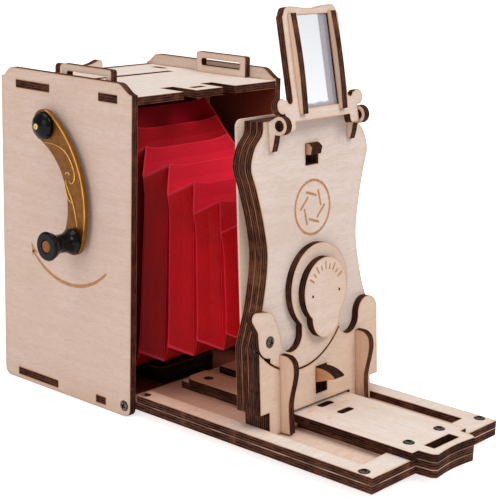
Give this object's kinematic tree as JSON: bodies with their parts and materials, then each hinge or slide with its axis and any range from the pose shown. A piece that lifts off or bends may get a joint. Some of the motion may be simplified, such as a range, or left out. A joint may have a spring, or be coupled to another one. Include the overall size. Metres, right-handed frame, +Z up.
{
  "type": "pinhole camera",
  "caption": "Folding plywood pinhole camera with a tapered red bellows, a sliding front standard, a swinging shutter, a folding frame finder and a crank that drives instant film out of its top.",
  "frame": {"origin": "point on the table midway between the two side walls, below their front edges", "axes": "+X across the camera away from the crank, the front faces -Y, +Z up"},
  "size_m": [0.1043, 0.1993, 0.1617],
  "materials": {
    "birch_ply": "bare birch plywood with scorched laser-cut edges",
    "bellows_cloth": "glossy fine-grained red",
    "bronze_finish": "satin bronze with a brighter rim",
    "brass": "polished",
    "black_gloss": "gloss",
    "black_screw": "black oxide",
    "steel": "satin",
    "roller_rubber": "matt",
    "acrylic": "clear sheet"
  },
  "bodies": {
    "box": {"left_wall": "birch_ply", "right_wall": "birch_ply", "top_plate": "birch_ply", "floor_plate": "birch_ply", "strap_loop_left": "birch_ply", "strap_loop_right": "birch_ply", "bellows_rear_frame": "birch_ply", "film_gate": "birch_ply", "roller_bracket_left": "birch_ply", "roller_bracket_right": "birch_ply", "inner_rib": "birch_ply", "inner_rail": "birch_ply", "bed_hinge_screws": "black_screw", "door_hinge_ears": "birch_ply", "door_hinge_rod": "steel", "bed_lower": "birch_ply", "bed_upper": "birch_ply", "bed_rail": "birch_ply", "bed_screws": "black_screw", "bellows": "bellows_cloth"},
    "door": {"back_door": "birch_ply", "door_knuckles": "birch_ply", "door_springs": "steel"},
    "crank": {"drive_roller": "roller_rubber", "crank_shaft": "steel", "crank_arm": "bronze_finish", "crank_cap": "black_gloss", "crank_screw": "brass", "crank_pin": "bronze_finish"},
    "knob": {"crank_knob": "black_gloss"},
    "idler": {"idle_roller": "roller_rubber", "idle_shaft": "steel"},
    "standard": {"standard_front": "birch_ply", "standard_middle": "birch_ply", "standard_rear": "birch_ply", "bellows_front_frame": "birch_ply", "apron": "birch_ply", "gusset_left": "birch_ply", "gusset_right": "birch_ply", "finder_bracket_left": "birch_ply", "finder_bracket_right": "birch_ply", "fold_hook": "birch_ply", "pinhole_disc": "brass", "shutter_screw": "black_screw", "catch_pin": "steel"},
    "catch": {"rail_catch": "birch_ply"},
    "shutter": {"shutter_plate": "birch_ply", "shutter_grip": "birch_ply"},
    "finder": {"finder_frame": "birch_ply", "finder_rib_left": "birch_ply", "finder_rib_right": "birch_ply", "finder_window": "acrylic", "finder_pins": "birch_ply"}
  },
  "joints": [
    {"name": "crank_turn", "type": "hinge", "parent": "box", "child": "crank", "pos_m": [0, 0.045, 0.1105], "axis": [1, 0, 0], "continuous": true},
    {"name": "knob_spin", "type": "hinge", "parent": "crank", "child": "knob", "pos_m": [-0.053, 0.0284, 0.067], "axis": [1, 0, 0], "continuous": true},
    {"name": "idler_turn", "type": "hinge", "parent": "box", "child": "idler", "pos_m": [0, 0.054, 0.1105], "axis": [1, 0, 0], "continuous": true},
    {"name": "standard_slide", "type": "slide", "parent": "box", "child": "standard", "axis": [0, 1, 0], "range_m": [-0.0194, 0.04], "deforming": ["bellows"]},
    {"name": "catch_press", "type": "hinge", "parent": "standard", "child": "catch", "pos_m": [0, -0.05632, 0.02337], "axis": [1, 0, 0], "range_deg": [0, 8]},
    {"name": "shutter_swing", "type": "hinge", "parent": "standard", "child": "shutter", "pos_m": [-0.0295, -0.05655, 0.04203], "axis": [0, -0.9977, 0.068], "range_deg": [0, 40]},
    {"name": "finder_fold", "type": "hinge", "parent": "standard", "child": "finder", "pos_m": [0, -0.0564, 0.1207], "axis": [1, 0, 0], "range_deg": [0, 173]},
    {"name": "door_hinge", "type": "hinge", "parent": "box", "child": "door", "pos_m": [0, 0.07, 0.008], "axis": [-1, 0, 0], "range_deg": [0, 90]}
  ],
  "couplings": [
    {"joint": "idler_turn", "follows": "crank_turn", "ratio": -1}
  ]
}
